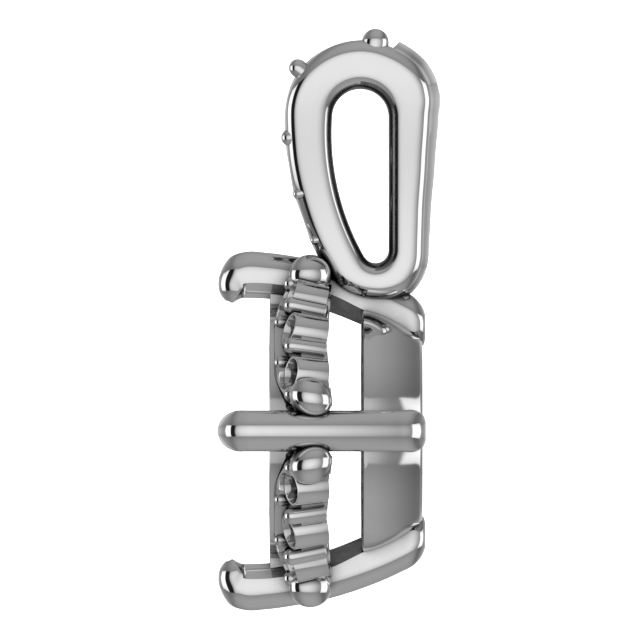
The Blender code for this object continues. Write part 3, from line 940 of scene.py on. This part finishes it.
lampRow = (
    # angle round the photo's vertical, from behind the camera towards the left; brightness
    (-180, 0.66), (-150, 0.56), (-135, 0.42), (-124, 0.36), (-110, 0.36), (-105, 1.50), (-71, 1.50),
    (-67, 0.36), (-57, 0.41), (-46, 0.56), (-38, 0.70), (-26, 0.84), (-12, 0.96), (0, 1.0),
    (14, 0.98), (26, 0.92), (35, 0.79), (42, 0.60), (47, 0.38), (50, 0.03), (53, 0.015), (78, 0.015),
    (82, 1.50), (113, 1.50), (118, 0.36), (124, 0.34), (135, 0.42), (150, 0.56), (180, 0.66),
)
wallRow = (
    # across; brightness of the walls above and below
    (-1.00, 0.58), (-0.86, 0.34), (-0.74, 0.26), (-0.62, 0.22), (-0.50, 0.27), (-0.30, 0.37),
    (-0.10, 0.41), (0.13, 0.415), (0.26, 0.405), (0.36, 0.375), (0.48, 0.31), (0.54, 0.255),
    (0.61, 0.18), (0.70, 0.20), (0.80, 0.34), (0.90, 0.48), (1.00, 0.62),
)
lampFall = (
    # up or down; share of the lamps' brightness
    (0.00, 1.00), (0.05, 0.985), (0.10, 0.95), (0.15, 0.88), (0.19, 0.83), (0.25, 0.66), (1.00, 0.60),
)
wallFall = (
    # up or down; share of the walls' brightness
    (0.00, 0.70), (0.27, 0.74), (0.33, 0.82), (0.42, 0.91), (0.54, 1.00), (0.80, 1.00), (0.92, 0.86),
    (1.00, 0.74),
)
mirrorBall = {
    "edgeLow": 0.250, "edgeHigh": 0.272,  # the soft edge between the lamps and the walls
    "backFrom": 0.36, "backTo": 0.72, "sideFrom": 0.25, "sideTo": 0.5, "backGlow": 0.22,  # pale far corners
    "rimTurn": 0.8, "gain": 2.0, "backdrop": 1.2,
}


def makeStudio():
    world = bpy.data.worlds.new("studio")
    bpy.context.scene.world = world
    world.use_nodes = True
    nodes = world.node_tree.nodes
    links = world.node_tree.links
    nodes.clear()

    def combine(operation, a, b=None):
        node = nodes.new("ShaderNodeMath")
        node.operation = operation
        for socket, value in zip(node.inputs, (a, b)):
            if isinstance(value, (int, float)):
                socket.default_value = value
            elif value is not None:
                links.new(value, socket)
        return node.outputs[0]

    def ramp(rows, position, gain):
        low, high = rows[0][0], rows[-1][0]
        node = nodes.new("ShaderNodeValToRGB")
        band = node.color_ramp
        while len(band.elements) < len(rows):
            band.elements.new(0.5)
        for element, (place, level) in zip(band.elements, rows):
            element.position = (place - low) / (high - low)
            grey = level / gain
            element.color = (grey, grey, grey, 1.0)
        share = combine("DIVIDE", combine("SUBTRACT", position, low), high - low)
        links.new(share, node.inputs["Fac"])
        return combine("MULTIPLY", node.outputs["Color"], gain)

    def ease(value, low, high):
        node = nodes.new("ShaderNodeMapRange")
        node.interpolation_type = "SMOOTHSTEP"
        node.inputs["From Min"].default_value = low
        node.inputs["From Max"].default_value = high
        links.new(value, node.inputs["Value"])
        return node.outputs["Result"]

    direction = nodes.new("ShaderNodeTexCoord")
    split = nodes.new("ShaderNodeSeparateXYZ")
    links.new(direction.outputs["Generated"], split.inputs["Vector"])
    x, y, z = split.outputs
    spread = combine("SQRT", combine("MULTIPLY", combine("MAXIMUM", combine("ADD", x, 1.0), 0.02), 2.0))
    across = combine("MULTIPLY", combine("DIVIDE", z, spread), -1.0)
    updown = combine("ABSOLUTE", combine("DIVIDE", y, spread))
    around = combine("DEGREES", combine("ARCTAN2", z, x))

    lamps = combine("MULTIPLY", ramp(lampRow, around, mirrorBall["gain"]), ramp(lampFall, updown, 1.0))
    squared = combine("MULTIPLY", updown, updown)
    turned = combine("SQRT", combine("SUBTRACT", 1.0, combine("MULTIPLY", squared, mirrorBall["rimTurn"])))
    rimward = combine("MINIMUM", across, combine("DIVIDE", across, turned))  # the front walls turn in
    wall = combine("MULTIPLY", ramp(wallRow, rimward, 1.0), ramp(wallFall, updown, 1.0))
    behind = combine("SUBTRACT", 1.0, ease(spread, mirrorBall["backFrom"], mirrorBall["backTo"]))
    aside = ease(combine("ABSOLUTE", across), mirrorBall["sideFrom"], mirrorBall["sideTo"])
    corner = combine("MULTIPLY", combine("MULTIPLY", behind, aside), mirrorBall["backGlow"])
    wall = combine("ADD", wall, corner)

    edge = ease(updown, mirrorBall["edgeLow"], mirrorBall["edgeHigh"])
    blend = nodes.new("ShaderNodeMix")
    links.new(edge, blend.inputs["Factor"])
    links.new(lamps, blend.inputs["A"])
    links.new(wall, blend.inputs["B"])

    seen = nodes.new("ShaderNodeLightPath")  # beyond the paper the camera sees plain white
    backdrop = nodes.new("ShaderNodeMix")
    backdrop.inputs["B"].default_value = mirrorBall["backdrop"]
    links.new(seen.outputs["Is Camera Ray"], backdrop.inputs["Factor"])
    links.new(blend.outputs["Result"], backdrop.inputs["A"])
    glow = nodes.new("ShaderNodeBackground")
    links.new(backdrop.outputs["Result"], glow.inputs["Color"])
    out = nodes.new("ShaderNodeOutputWorld")
    links.new(glow.outputs["Background"], out.inputs["Surface"])


def makeCamera():
    startFresh()
    tilt = math.radians(view["tilt"])
    away = Vector((math.cos(tilt), 0.0, math.sin(tilt)))
    middle = Vector((0.0, view["middleY"], view["middleZ"])) * mm
    bpy.ops.object.camera_add(location=middle + away * view["distance"])
    camera = bpy.context.object
    camera.data.type = "ORTHO"
    camera.data.ortho_scale = view["frame"] / view["pixelsPerMm"] * mm
    camera.data.clip_start = 0.001
    camera.data.clip_end = 6.0
    right = Vector((math.sin(tilt), 0.0, -math.cos(tilt)))  # the photo's right is the mount's back
    up = away.cross(right)
    turn = camera.matrix_world.to_3x3()
    for row in range(3):
        turn[row] = (right[row], up[row], away[row])
    camera.rotation_euler = turn.to_euler()
    bpy.context.scene.camera = camera
    bpy.context.scene.view_settings.view_transform = "Standard"


makeFloor()
makeLight()
makeStudio()
makeCamera()
print("stage set")
